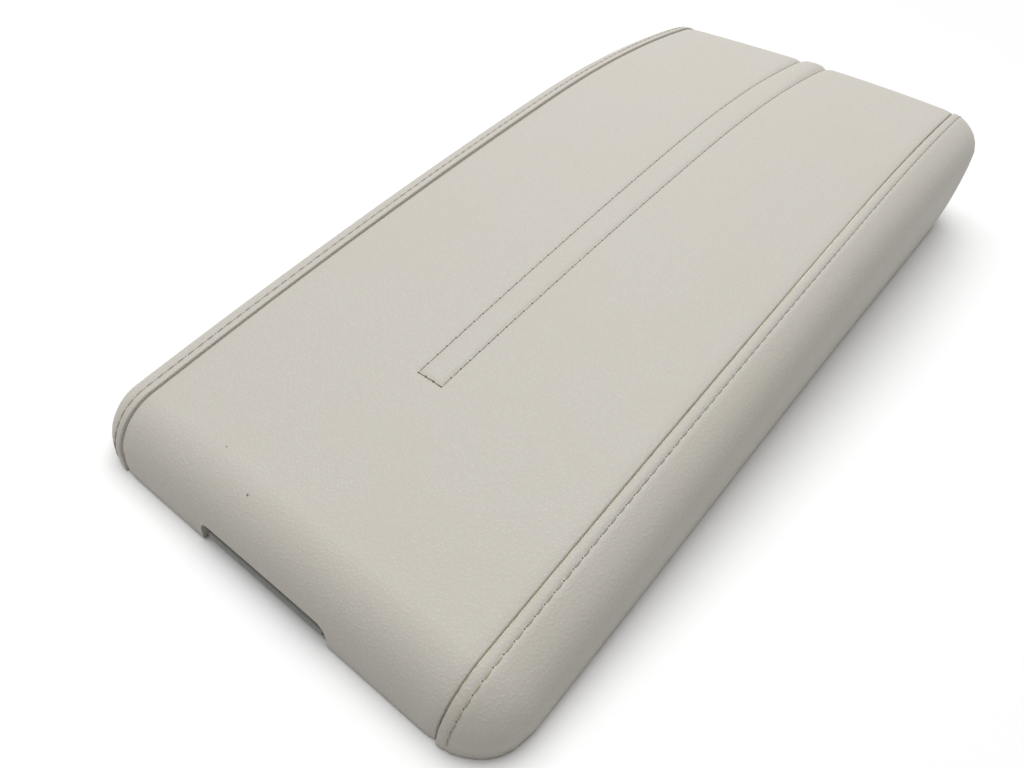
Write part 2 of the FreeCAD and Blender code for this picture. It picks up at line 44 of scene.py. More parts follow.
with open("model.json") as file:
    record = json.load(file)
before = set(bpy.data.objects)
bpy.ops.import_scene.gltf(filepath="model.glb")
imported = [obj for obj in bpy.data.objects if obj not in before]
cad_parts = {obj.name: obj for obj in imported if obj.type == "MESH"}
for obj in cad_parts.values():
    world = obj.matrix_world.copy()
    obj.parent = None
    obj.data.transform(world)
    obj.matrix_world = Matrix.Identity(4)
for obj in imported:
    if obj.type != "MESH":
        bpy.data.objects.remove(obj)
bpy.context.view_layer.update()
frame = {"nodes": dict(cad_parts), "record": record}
MM = 0.001

# Form of the padded lid, as in the part's source
FRONT_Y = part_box("top_cover")[0][1]
REAR_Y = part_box("top_cover")[1][1]
HEM_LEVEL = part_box("top_cover")[0][2]
CREST_HEIGHT = 66.0 * MM
CROWN_RADIUS = 1300.0 * MM
HALF_ANGLE = math.asin(90.0 / 1345.0)
NOSE_RADIUS = 20.0 * MM
TAIL_RADIUS = 40.0 * MM
SIDE_RADIUS = 18.0 * MM
FRONT_RISE = math.radians(11.3)
MIDDLE_RISE = math.radians(6.8)
TAIL_FALL = math.radians(4.3)
ARC_MEETING_Y = 40.0 * MM

# Sewing
ROW_STEP = 1.0 * MM
HEM_WIDTH = 11.0 * MM
NOTCH_HALF = 28.0 * MM
NOTCH_HEIGHT = 9.5 * MM
NOTCH_CORNER = 4.0 * MM
NOTCH_LINING = 9.0 * MM
STRIP_START_Y = -125.0 * MM
STRIP_FRONT_HALF = 5.0 * MM
STRIP_REAR_HALF = 7.0 * MM
LAP_WIDTH = 3.6 * MM
RIM_BLEND = 14.0 * MM
CORNER_BLEND = 30.0 * MM
WALL_SLACK = 0.8 * MM
ROW_MARGIN = 4.0 * MM
STITCH_LIFT = 0.16 * MM
HOLE_LIFT = 0.14 * MM
SEAM_STITCH_SHARE = 0.86
STRIP_STITCH_SHARE = 0.92
SEAM_HOLE_SHARE = 1.1
STRIP_HOLE_SHARE = 1.9
FINE_THREAD_SHARE = 0.75

# Lines of the leather sheets, in millimetres from the strip's edge, the middle or the seam
STRIP_COLUMNS = (-1.4, -0.7, 0, 0.7, 1.4)
PANEL_COLUMNS = (10.5, 14, 18, 21, 24, 25.2, 26.4, 27.4, 28, 29, 31, 35, 40, 46, 52, 57.5)
SEAM_COLUMNS = (9.5, 6.5, 4.5, 3, 2, 1.3, 0.8, 0.5, 0.3, 0.15, 0)
LAP_LINES = (0, 0.12, 0.25, 0.4, 0.6, 1.0, 1.7, 2.5, 3.1, 3.6, 4.1, 4.8, 6.0, 8.5,
             11.5, 14.5, 18.0, 22.0)
WALL_ROWS = 9
SIDE_BEYOND = 70.0 * MM

# Specks of dirt on the front roll, in millimetres
SPECKS = ((-32.0, -180.3, 26.2), (-14.1, -187.0, 24.1))
SPECK_RADIUS = 0.6 * MM

# Stage
FLOOR_SIZE = 12.0
FLOOR_TONES = ((0.79, 0.79, 0.79), (0.80, 0.80, 0.80))
FLOOR_FADE = (0.34, 0.75)
LAMP_PLACE = (-0.24, 0.1, 1.42)
LAMP_SIZE = (1.6, 1.2)
LAMP_TINT = (0.98, 0.99, 1.0)
FILL_TINT = (1.0, 0.97, 0.93)
SENSOR_WIDTH = 36.0


# Property groups

class ArmrestLeather(bpy.types.PropertyGroup):
    """The leather's colours and thickness."""
    colour: FloatVectorProperty(name="Leather", description="Main colour of the leather", subtype="COLOR",
                                size=3, default=(0.456, 0.435, 0.392))
    shade: FloatVectorProperty(name="Grain shade", description="Colour in the creases of the grain",
                               subtype="COLOR",
                               size=3, default=(0.372, 0.350, 0.312))
    thickness: FloatProperty(name="Thickness", description="Thickness of the leather", unit="LENGTH",
                             default=1.3 * MM)


class ArmrestStitching(bpy.types.PropertyGroup):
    """Sizes and colour of the thread."""
    thread: FloatVectorProperty(name="Thread", description="Colour of the thread", subtype="COLOR",
                                size=3, default=(0.35, 0.33, 0.288))
    radius: FloatProperty(name="Thread radius", description="Radius of the thread", unit="LENGTH",
                          default=0.27 * MM)
    seam_pitch: FloatProperty(name="Seam pitch", description="Stitch to stitch along the side seams",
                              unit="LENGTH", default=4.2 * MM)
    strip_pitch: FloatProperty(name="Strip pitch", description="Stitch to stitch along the centre strip",
                               unit="LENGTH", default=4.7 * MM)


class ArmrestStage(bpy.types.PropertyGroup):
    """Camera and light."""
    camera: FloatVectorProperty(name="Camera", description="Where the camera stands", subtype="TRANSLATION",
                                size=3, default=(126.4 * MM, -262.2 * MM, 211.0 * MM))
    azimuth: FloatProperty(name="Azimuth", description="Turn of the camera to the right", subtype="ANGLE",
                           default=math.radians(34.42))
    elevation: FloatProperty(name="Elevation", description="Camera's downward tilt", subtype="ANGLE",
                             default=math.radians(43.0))
    roll: FloatProperty(name="Roll", description="Camera's roll", subtype="ANGLE",
                        default=math.radians(5.96))
    lens: FloatProperty(name="Lens", description="Focal length in millimetres", default=27.82)
    key_power: FloatProperty(name="Key light", description="Power of the overhead light in watts",
                             default=29.0)
    fill: FloatProperty(name="Fill light", description="Strength of the surrounding light", default=0.3)


# Node helpers

class Value:
    """A shader socket whose arithmetic makes Math nodes."""

    def __init__(self, tree, socket):
        self.tree = tree
        self.socket = socket

    def math(self, operation, *others):
        node = self.tree.nodes.new("ShaderNodeMath")
        node.operation = operation
        for slot, item in zip(node.inputs, (self,) + others):
            if isinstance(item, Value):
                self.tree.links.new(item.socket, slot)
            else:
                slot.default_value = item
        return Value(self.tree, node.outputs[0])

    def __add__(self, other):
        return self.math("ADD", other)

    def __mul__(self, other):
        return self.math("MULTIPLY", other)

    __radd__ = __add__
    __rmul__ = __mul__

    def smooth(self, low, high):
        """0 below low, 1 above high, and smooth between them."""
        node = self.tree.nodes.new("ShaderNodeMapRange")
        node.interpolation_type = "SMOOTHSTEP"
        self.tree.links.new(self.socket, node.inputs["Value"])
        node.inputs["From Min"].default_value = low
        node.inputs["From Max"].default_value = high
        return Value(self.tree, node.outputs["Result"])


class Finish:
    """A new Principled material and the nodes that feed it."""

    def __init__(self, name, colour, roughness, **sockets):
        self.material = bpy.data.materials.new(name)
        self.material.use_nodes = True
        self.tree = self.material.node_tree
        self.shader = self.tree.nodes["Principled BSDF"]
        self.shader.inputs["Base Color"].default_value = (*colour, 1.0)
        self.shader.inputs["Roughness"].default_value = roughness
        for socket, value in sockets.items():
            self.shader.inputs[socket.replace("_", " ")].default_value = value
        self.coords = self.tree.nodes.new("ShaderNodeTexCoord").outputs["Object"]

    def node(self, kind, output, vector=None, **inputs):
        """Any other node: sets its inputs and gives one output as a Value."""
        node = self.tree.nodes.new(kind)
        if "Vector" in node.inputs:
            self.tree.links.new(vector or self.coords, node.inputs["Vector"])
        for name, value in inputs.items():
            slot = node.inputs[name.replace("_", " ")]
            if isinstance(value, Value):
                self.tree.links.new(value.socket, slot)
            else:
                slot.default_value = value
        return Value(self.tree, node.outputs[output])

    def noise(self, scale, detail=3.0, roughness=0.5, vector=None):
        return self.node("ShaderNodeTexNoise", "Fac", vector, Scale=scale, Detail=detail,
                         Roughness=roughness)

    def cells(self, scale, vector=None):
        return self.node("ShaderNodeTexVoronoi", "Distance", vector, Scale=scale)

    def stretched(self, x, y, z):
        """Object coordinates stretched along the axes."""
        return self.node("ShaderNodeMapping", "Vector", Scale=(x, y, z)).socket

    def far_from(self, point):
        """Distance from a point of the part."""
        node = self.tree.nodes.new("ShaderNodeVectorMath")
        node.operation = "DISTANCE"
        self.tree.links.new(self.coords, node.inputs[0])
        node.inputs[1].default_value = point
        return Value(self.tree, node.outputs["Value"])

    def mix(self, factor, first, second):
        """Mixes two colours, each a triple or a socket."""
        node = self.tree.nodes.new("ShaderNodeMix")
        node.data_type = "RGBA"
        self.tree.links.new(factor.socket, node.inputs[0])
        for slot, colour in ((node.inputs[6], first), (node.inputs[7], second)):
            if isinstance(colour, bpy.types.NodeSocket):
                self.tree.links.new(colour, slot)
            else:
                slot.default_value = (*colour, 1.0)
        return node.outputs[2]

    def colour(self, socket):
        self.tree.links.new(socket, self.shader.inputs["Base Color"])

    def roughness(self, value):
        self.tree.links.new(value.socket, self.shader.inputs["Roughness"])

    def bump(self, height, distance, strength=1.0):
        node = self.tree.nodes.new("ShaderNodeBump")
        node.inputs["Distance"].default_value = distance
        node.inputs["Strength"].default_value = strength
        self.tree.links.new(height.socket, node.inputs["Height"])
        self.tree.links.new(node.outputs["Normal"], self.shader.inputs["Normal"])


# Finishes

def leather_finish():
    """Grained light leather, with softer tone in broad patches and two specks of dirt."""
    settings = bpy.context.scene.armrest_leather
    finish = Finish("light leather", settings.colour, 0.52, Specular_IOR_Level=0.34)
    wander = finish.noise(420.0, 2.0)
    grain = finish.cells(1050.0)
    fine = finish.noise(2600.0, 2.0)
    patches = finish.noise(16.0, 4.0, 0.6)
    pebble = grain.smooth(0.05, 0.62)
    tone = finish.mix(pebble * 0.34 + wander * 0.16, settings.colour, settings.shade)
    warm = tuple(c * k for c, k in zip(settings.colour, (0.93, 0.925, 0.90)))
    tone = finish.mix(patches.smooth(0.42, 0.75) * 0.6, tone, warm)
    for point in SPECKS:
        near = finish.far_from(tuple(c * MM for c in point))
        speck = (near + wander * 0.0006).smooth(1.5 * SPECK_RADIUS, 0.6 * SPECK_RADIUS)
        tone = finish.mix(speck, tone, (0.06, 0.05, 0.045))
    finish.colour(tone)
    finish.roughness(pebble * 0.12 + patches * 0.1 + 0.42)
    finish.bump(pebble * -0.7 + wander * 0.45 + fine * 0.15, 0.00018, 0.5)
    return finish.material


def thread_finish():
    """Twisted thread, a little yellower in places."""
    settings = bpy.context.scene.armrest_stitching
    finish = Finish("sewing thread", settings.thread, 0.6)
    fibres = finish.noise(3200.0, 2.0)
    patches = finish.noise(30.0, 2.0)
    yellow = tuple(c * k for c, k in zip(settings.thread, (1.12, 1.02, 0.80)))
    dark = tuple(c * 0.62 for c in settings.thread)
    tone = finish.mix(fibres.smooth(0.35, 0.65), dark, settings.thread)
    finish.colour(finish.mix(patches.smooth(0.5, 0.7) * 0.7, tone, yellow))
    finish.bump(fibres, 0.0002, 0.6)
    return finish.material


def hole_shade_finish():
    """Painted shade: the dark colour of the shadowed leather inside a needle's hole."""
    finish = Finish("needle hole shade", (0.09, 0.075, 0.06), 0.9)
    mottle = finish.noise(2000.0)
    finish.colour(finish.mix(mottle, (0.07, 0.06, 0.05), (0.13, 0.11, 0.09)))
    return finish.material


def plastic_finish(name, colour, roughness, grain_scale=900.0):
    """Moulded plastic with a fine spark-eroded grain and faint scuffs."""
    finish = Finish(name, colour, roughness)
    grain = finish.cells(grain_scale)
    scuffs = finish.noise(60.0, 5.0, 0.7)
    lighter = tuple(min(1.0, c * 1.25 + 0.01) for c in colour)
    finish.colour(finish.mix(scuffs.smooth(0.5, 0.8) * 0.6, colour, lighter))
    finish.roughness(scuffs * 0.18 + (roughness - 0.08))
    finish.bump(grain, 0.00012, 0.35)
    return finish.material


def steel_finish(name, colour, roughness):
    """Drawn or plated steel with fine lines along the width."""
    finish = Finish(name, colour, roughness, Metallic=1.0)
    lines = finish.noise(1.0, 4.0, 0.6, finish.stretched(60.0, 2400.0, 2400.0))
    dull = finish.noise(90.0, 4.0, 0.6)
    darker = tuple(c * 0.72 for c in colour)
    finish.colour(finish.mix(dull.smooth(0.45, 0.75), colour, darker))
    finish.roughness(lines * 0.12 + dull * 0.12 + (roughness - 0.1))
    finish.bump(lines, 0.00003, 0.5)
    return finish.material


def coated_finish(name, colour):
    """Black coated pressed steel, with orange-peel texture and rubbed patches."""
    finish = Finish(name, colour, 0.4, Specular_IOR_Level=0.5)
    peel = finish.noise(700.0, 2.0)
    rubbed = finish.noise(45.0, 6.0, 0.7)
    finish.colour(finish.mix(rubbed.smooth(0.6, 0.8), colour, (0.12, 0.12, 0.12)))
    finish.roughness(rubbed * 0.25 + 0.28)
    finish.bump(peel, 0.00008, 0.4)
    return finish.material


def foam_finish():
    """Open-cell moulded foam."""
    finish = Finish("moulded foam", (0.72, 0.66, 0.48), 0.95)
    cells = finish.cells(900.0)
    age = finish.noise(25.0)
    tone = finish.mix(cells.smooth(0.1, 0.6), (0.60, 0.53, 0.36), (0.76, 0.70, 0.52))
    finish.colour(finish.mix(age.smooth(0.5, 0.8) * 0.5, tone, (0.70, 0.58, 0.36)))
    finish.bump(cells, 0.0004, 0.7)
    return finish.material


# The lid's surface

class LidForm:
    """The lid's outer surface, by distance along its long profile and by place across it."""

    def __init__(self):
        nose_end = FRONT_Y + NOSE_RADIUS * (1 - math.sin(FRONT_RISE))
        tail_start = REAR_Y - TAIL_RADIUS * (1 - math.sin(TAIL_FALL))
        front_radius = (ARC_MEETING_Y - nose_end) / (math.sin(FRONT_RISE) - math.sin(MIDDLE_RISE))
        crest_radius = (tail_start - ARC_MEETING_Y) / (math.sin(MIDDLE_RISE) + math.sin(TAIL_FALL))
        crest = (ARC_MEETING_Y + crest_radius * math.sin(MIDDLE_RISE), CREST_HEIGHT - crest_radius)
        spread = front_radius - crest_radius
        front = (crest[0] + spread * math.sin(MIDDLE_RISE), crest[1] - spread * math.cos(MIDDLE_RISE))
        nose = (FRONT_Y + NOSE_RADIUS, front[1] + (front_radius - NOSE_RADIUS) * math.cos(FRONT_RISE))
        tail = (REAR_Y - TAIL_RADIUS, crest[1] + (crest_radius - TAIL_RADIUS) * math.cos(TAIL_FALL))
        up = math.pi / 2
        self.front_wall = nose[1] - HEM_LEVEL
        self.rear_wall = tail[1] - HEM_LEVEL
        self.arcs = [
            (nose, NOSE_RADIUS, math.pi, up + FRONT_RISE),
            (front, front_radius, up + FRONT_RISE, up + MIDDLE_RISE),
            (crest, crest_radius, up + MIDDLE_RISE, up - TAIL_FALL),
            (tail, TAIL_RADIUS, up - TAIL_FALL, 0.0),
        ]
        self.length = self.front_wall + sum(r * (a - b) for _, r, a, b in self.arcs) + self.rear_wall

    def profile(self, s):
        """(y, z, normal y, normal z) on the centre line, s along it from the front hem."""
        if s <= self.front_wall:
            return FRONT_Y, HEM_LEVEL + s, -1.0, 0.0
        s -= self.front_wall
        for centre, radius, begin, end in self.arcs:
            span = radius * (begin - end)
            if s <= span:
                turn = begin - s / radius
                y, z = math.cos(turn), math.sin(turn)
                return centre[0] + radius * y, centre[1] + radius * z, y, z
            s -= span
        return REAR_Y, HEM_LEVEL + self.rear_wall - s, 1.0, 0.0

    def at_height(self, z):
        """s where the front of the profile reaches a height on the nose roll or below it."""
        if z <= HEM_LEVEL + self.front_wall:
            return z - HEM_LEVEL
        centre, radius, begin, _ = self.arcs[0]
        return self.front_wall + radius * math.asin((z - centre[1]) / radius)

    def ball(self, s):
        """Centre of the side roll at s, and its directions out through the top and the side."""
        y, z, ny, nz = self.profile(s)
        cy, cz = y - SIDE_RADIUS * ny, z - SIDE_RADIUS * nz
        swing = CROWN_RADIUS + cz
        angle = HALF_ANGLE - math.asin(SIDE_RADIUS / swing)
        centre = Vector((swing * math.sin(angle), cy, swing * math.cos(angle) - CROWN_RADIUS))
        top = Vector((nz * math.sin(angle), ny, nz * math.cos(angle)))
        side = Vector((math.cos(HALF_ANGLE), 0.0, -math.sin(HALF_ANGLE)))
        return centre, top, side

    def seam_x(self, s):
        centre, top, _ = self.ball(s)
        return (centre + SIDE_RADIUS * top).x

    def top(self, s, x):
        """Point and normal of the top panel."""
        y, z, ny, nz = self.profile(s)
        swing = CROWN_RADIUS + z
        sine = x / swing
        cosine = math.sqrt(1 - sine * sine)
        return Vector((x, y, swing * cosine - CROWN_RADIUS)), Vector((nz * sine, ny, nz * cosine))

    def roll(self, s, turn):
        """Point and normal of the right side panel's roll, turn from the seam."""
        centre, top, side = self.ball(s)
        normal = (math.cos(turn) * top + math.sin(turn) * side).normalized()
        return centre + SIDE_RADIUS * normal, normal


FORM = LidForm()


def settle(point):
    """Levels the rim: the crown's droop at the bottom edge is taken out over the lowest stretch."""
    droop = CROWN_RADIUS - math.sqrt(CROWN_RADIUS ** 2 - point.x ** 2)
    if point.z >= RIM_BLEND:
        return point
    low = HEM_LEVEL - droop
    share = (point.z - low) / (RIM_BLEND - low)
    return Vector((point.x, point.y, HEM_LEVEL + share * (RIM_BLEND - HEM_LEVEL)))


def bell(distance, width):
    return math.exp(-(distance / width) ** 2)


def ease(value, low, high):
    t = min(1.0, max(0.0, (value - low) / (high - low)))
    return t * t * (3 - 2 * t)


def strip_half(y):
    """Half width of the centre strip at y."""
    share = min(1.0, max(0.0, (y - STRIP_START_Y) / (REAR_Y - STRIP_START_Y)))
    return STRIP_FRONT_HALF + share * (STRIP_REAR_HALF - STRIP_FRONT_HALF)


def top_relief(s, x):
    """How far the top panel stands off its smooth form: seam valleys, stitched strip and slack."""
    y = FORM.profile(s)[0]
    to_seam = FORM.seam_x(s) - abs(x)
    lift = -1.5 * MM * bell(to_seam, 0.32 * MM) - 0.5 * MM * bell(to_seam, 2.2 * MM)
    along = ease(y, STRIP_START_Y - 1 * MM, STRIP_START_Y + 1 * MM)
    rear = ease(y, 95 * MM, 190 * MM)
    half = strip_half(y)
    lift -= along * (0.5 + 1.0 * rear) * MM * bell(abs(x) - half, (0.7 + 1.1 * rear) * MM)
    lift += along * (0.35 + 0.5 * rear) * MM * bell(x, half * 0.8)
    inside = ease(half + 0.5 * MM - abs(x), 0.0, 1.0 * MM)
    lift -= 0.45 * MM * inside * bell(y - STRIP_START_Y, 0.8 * MM)
    lift += 0.25 * MM * math.sin(y * 21.0 + 1.3) * math.cos(x * 33.0 + y * 7.0)
    return lift


def side_relief(s, across):
    """The side panel's raised lap at the seam, and the line of its topstitching."""
    lift = 0.22 * MM * ease(across, 0.0, 0.6 * MM) - 1.5 * MM * bell(across, 0.25 * MM)
    lift -= 0.22 * MM * ease(across, LAP_WIDTH, LAP_WIDTH + 4.0 * MM)
    lift -= 0.3 * MM * bell(across - LAP_WIDTH, 0.6 * MM)
    lift += 0.3 * MM * math.sin(s * 19.0 + 0.7) * ease(across, 8 * MM, 20 * MM)
    return lift


# Mesh helpers

def deselect():
    if bpy.context.object and bpy.context.object.mode != "OBJECT":
        bpy.ops.object.mode_set(mode="OBJECT")
    bpy.ops.object.select_all(action="DESELECT")


def activate(obj):
    deselect()
    obj.select_set(True)
    bpy.context.view_layer.objects.active = obj


def sheet_of(name, grids, skip=None):
    """A mesh from grids of points, joined where they meet; skip(grid, row, column) leaves out a face."""
    mesh = bpy.data.meshes.new(name)
    work = bmesh.new()
    for index, rows in enumerate(grids):
        verts = [[work.verts.new(p) for p in row] for row in rows]
        for i in range(len(rows) - 1):
            for j in range(len(rows[0]) - 1):
                if skip and skip(index, i, j):
                    continue
                work.faces.new((verts[i][j], verts[i][j + 1], verts[i + 1][j + 1], verts[i + 1][j]))
    bmesh.ops.remove_doubles(work, verts=work.verts, dist=0.02 * MM)
    loose = [v for v in work.verts if not v.link_faces]
    bmesh.ops.delete(work, geom=loose, context="VERTS")
    work.to_mesh(mesh)
    work.free()
    obj = bpy.data.objects.new(name, mesh)
    bpy.context.collection.objects.link(obj)
    return obj


def finish_cover(obj, node):
    """Gives a leather sheet its thickness, finish and place in the part."""
    activate(obj)
    bpy.ops.object.mode_set(mode="EDIT")
    bpy.ops.mesh.select_all(action="SELECT")
    bpy.ops.mesh.normals_make_consistent(inside=False)
    bpy.ops.object.mode_set(mode="OBJECT")
    middle = obj.data.polygons[len(obj.data.polygons) // 2]
    side = math.copysign(1.0, middle.center.x) if abs(middle.center.x) > SIDE_BEYOND else 0.0
    if middle.normal.dot(Vector((side, 0.0, 1.0))) < 0:
        bpy.ops.object.mode_set(mode="EDIT")
        bpy.ops.mesh.flip_normals()
        bpy.ops.object.mode_set(mode="OBJECT")
    wall = obj.modifiers.new("leather", "SOLIDIFY")
    wall.thickness = bpy.context.scene.armrest_leather.thickness
    wall.offset = -1.0
    bpy.ops.object.modifier_apply(modifier=wall.name)
    bpy.ops.object.shade_smooth_by_angle(angle=math.radians(50))
    obj.data.materials.append(material("light leather", leather_finish))
    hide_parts(node)
    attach(obj, "lid")


def material(name, maker):
    return bpy.data.materials.get(name) or maker()


def mirrored(grid, side):
    """A grid of points of the right side, or of the left where side is -1."""
    return [[Vector((side * p.x, p.y, p.z)) for p in row] for row in grid]


def seam_rows():
    """Distances along the profile, a row apart."""
    count = round(FORM.length / ROW_STEP)
    return [FORM.length * i / count for i in range(count + 1)]


# Operators

class ARMREST_OT_top_cover(bpy.types.Operator):
    """Top panel, turned in under the rim, with the finger notch and the stitched centre strip"""
    bl_idname = "armrest.top_cover"
    bl_label = "Top cover"

    def columns(self, s):
        """Places across the panel at s, closest together where it is sewn or cut."""
        y = FORM.profile(s)[0]
        half = strip_half(y)
        seam = FORM.seam_x(s)
        near = [0.0, half * 0.5] + [half + m * MM for m in STRIP_COLUMNS]
        middle = [m * MM for m in PANEL_COLUMNS]
        edge = [seam - m * MM for m in SEAM_COLUMNS]
        right = near + middle + edge
        return [-x for x in reversed(right[1:])] + right

    def notch_row(self, x):
        """Height of the notch's edge across the panel."""
        corner = abs(x) - (NOTCH_HALF - NOTCH_CORNER)
        if corner <= 0:
            return NOTCH_HEIGHT
        corner = min(corner, NOTCH_CORNER)
        return NOTCH_HEIGHT - NOTCH_CORNER + math.sqrt(NOTCH_CORNER ** 2 - corner ** 2)

    def execute(self, context):
        below = WALL_ROWS
        rows = seam_rows()
        above = [s for s in rows if s > FORM.at_height(NOTCH_HEIGHT) + 2 * ROW_STEP]
        points = []
        for i in range(below + 1 + len(above)):
            row = []
            base = above[i - below - 1] if i > below else 0.0
            for x in self.columns(base):
                s = base if i > below else FORM.at_height(self.notch_row(x)) * i / below
                place, normal = FORM.top(s, x)
                row.append(settle(place + normal * top_relief(s, x)))
            points.append(row)
        points.insert(0, [Vector((p.x, FRONT_Y + HEM_WIDTH, p.z)) for p in points[0]])
        points.append([Vector((p.x, REAR_Y - HEM_WIDTH, p.z)) for p in points[-1]])
        across = self.columns(0.0)

        def in_notch(_, i, j):
            return i <= below and max(abs(across[j]), abs(across[j + 1])) < NOTCH_HALF + 0.1 * MM

        obj = sheet_of("leather_top_cover", [points], in_notch)
        activate(obj)
        for edge in obj.data.edges:
            edge.select = False
        ends = {}
        for face in obj.data.polygons:
            for key in face.edge_keys:
                ends[key] = ends.get(key, 0) + 1
        for edge in obj.data.edges:
            a, b = (obj.data.vertices[v].co for v in edge.vertices)
            rim = ends.get(edge.key, 0) == 1 and max(a.y, b.y) < FRONT_Y + 3 * MM
            edge.select = rim and max(abs(a.x), abs(b.x)) < NOTCH_HALF + 0.2 * MM
        bpy.ops.object.mode_set(mode="EDIT")
        bpy.ops.mesh.select_mode(type="EDGE")
        bpy.ops.mesh.extrude_region_move(TRANSFORM_OT_translate={"value": (0, NOTCH_LINING, 0)})
        bpy.ops.object.mode_set(mode="OBJECT")
        finish_cover(obj, "top_cover")
        return {"FINISHED"}


class ARMREST_OT_side_covers(bpy.types.Operator):
    """Side panels, lapped over the top panel at the seams and turned in under the rim"""
    bl_idname = "armrest.side_covers"
    bl_label = "Side covers"

    def execute(self, context):
        laps = [m * MM for m in LAP_LINES]
        turns = [a / SIDE_RADIUS for a in laps] + [math.pi / 2]
        rows = seam_rows()
        low = FORM.front_wall
        high = FORM.length - FORM.rear_wall
        steps = WALL_ROWS
        lines = [low * i / steps for i in range(steps)]
        lines += [s for s in rows if low < s < high]
        lines.insert(steps, low)
        lines += [high + (FORM.length - high) * i / steps for i in range(steps + 1)]
        # The roll from the seam to the side, with the front and rear corners
        roll = []
        for s in lines:
            row = []
            for turn in turns:
                place, normal = FORM.roll(s, turn)
                row.append(settle(place + normal * side_relief(s, turn * SIDE_RADIUS)))
            roll.append(row)
        # Hems turned in under the corners
        hems = []
        for s in (0.0, FORM.length):
            places = [FORM.roll(s, turn) for turn in turns]
            hems.append([settle(p - HEM_WIDTH * Vector((n.x, n.y, 0))) for p, n in places])
            for p in hems[-1]:
                p.z = HEM_LEVEL
        roll = [hems[0]] + roll + [hems[1]]
        # The wall below the roll, whose ends are tied to the corners' edges
        wall = []
        inward = Vector((math.cos(HALF_ANGLE), 0, 0)) * HEM_WIDTH
        edge = [row[-1] for row in roll[1:-1]]
        last = len(lines) - steps - 1
        for i in range(steps, last + 1):
            start = edge[i]
            to_end = min(i - steps, last - i) * ROW_STEP
            loose = ease(start.z, 10 * MM, 40 * MM) * ease(to_end, 0.0, CORNER_BLEND)
            column = []
            for k in range(steps + 1):
                z = start.z + (HEM_LEVEL - start.z) * k / steps
                slack = WALL_SLACK * math.sin(math.pi * k / steps) * loose
                lean = math.tan(HALF_ANGLE) * (start.z - z)
                column.append(Vector((start.x - lean + slack, start.y, z)))
            wall.append(column)
        for end, step in ((0, -1), (-1, 1)):
            index = steps if end == 0 else last
            shifts = [edge[index + step * k] - wall[end][k] for k in range(steps + 1)]
            for i, column in enumerate(wall):
                away = i if end == 0 else len(wall) - 1 - i
                weight = 1 - ease(away * ROW_STEP, 0.0, CORNER_BLEND)
                if weight > 0:
                    wall[i] = [p + weight * shift for p, shift in zip(column, shifts)]
        for column in wall:
            column.append(column[-1] - inward)
        for side, node in ((1, "right_side_cover"), (-1, "left_side_cover")):
            grids = [mirrored(grid, side) for grid in (roll, wall)]
            finish_cover(sheet_of("leather_" + node, grids), node)
        return {"FINISHED"}


def stitch_shape(length, radius):
    """One stitch: a rounded bar along X whose ends dip into the leather."""
    deselect()
    bpy.ops.mesh.primitive_uv_sphere_add(segments=8, ring_count=10, radius=1.0,
                                         rotation=(0, math.pi / 2, 0))
    bar = bpy.context.object
    bpy.ops.object.transform_apply(location=False, rotation=True, scale=True)
    verts = []
    for v in bar.data.vertices:
        u = math.copysign(abs(v.co.x) ** 0.75, v.co.x)
        dip = 2.0 * radius * max(0.0, abs(u) - 0.55) ** 2 / 0.2
        swell = 1.0 + 0.12 * math.cos(u * 2.2)
        verts.append(Vector((u * length / 2, v.co.y * radius * swell, v.co.z * radius * swell - dip)))
    faces = [tuple(p.vertices) for p in bar.data.polygons]
    bpy.data.objects.remove(bar)
    return verts, faces


def hole_shape(radius):
    """A flat disc, a little longer along the row, that carries the painted shade of a needle's hole."""
    turns = [math.tau * k / 10 for k in range(10)]
    rim = [Vector((1.15 * radius * math.cos(a), radius * math.sin(a), 0)) for a in turns]
    return rim, [tuple(range(10))]


def lay_copies(name, shape, places):
    """Joins a copy of a shape at each place, a 4 by 4 matrix, into one object."""
    verts, faces = [], []
    for place in places:
        start = len(verts)
        verts += [place @ v for v in shape[0]]
        faces += [tuple(start + i for i in face) for face in shape[1]]
    mesh = bpy.data.meshes.new(name)
    mesh.from_pydata(verts, [], faces)
    obj = bpy.data.objects.new(name, mesh)
    bpy.context.collection.objects.link(obj)
    activate(obj)
    bpy.ops.object.shade_smooth()
    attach(obj, "lid")
    return obj


def placed(point, along, normal, slant=0.0):
    """A matrix with X along the row and Z off the surface."""
    x = (along - normal * along.dot(normal)).normalized()
    y = normal.cross(x)
    x, y = math.cos(slant) * x + math.sin(slant) * y, math.cos(slant) * y - math.sin(slant) * x
    return Matrix.Translation(point) @ Matrix((x, y, normal)).transposed().to_4x4()


def row_places(track, start, end, pitch):
    """Matrices of stitches and of the painted-shade discs at their holes along a track from distance start
    to end.
    """
    stitches, holes = [], []
    count = int((end - start) / pitch)
    for i in range(count):
        here = start + pitch * (i + 0.5)
        point, normal = track(here)
        ahead = track(here + 0.4 * pitch)[0] - track(here - 0.4 * pitch)[0]
        sway = 0.05 * math.sin(i * 2.4)
        stitches.append(placed(point + normal * STITCH_LIFT, ahead, normal, 0.045 + sway))
        spot, lift = track(start + pitch * i)
        holes.append(placed(spot + lift * HOLE_LIFT, ahead, lift))
    return stitches, holes


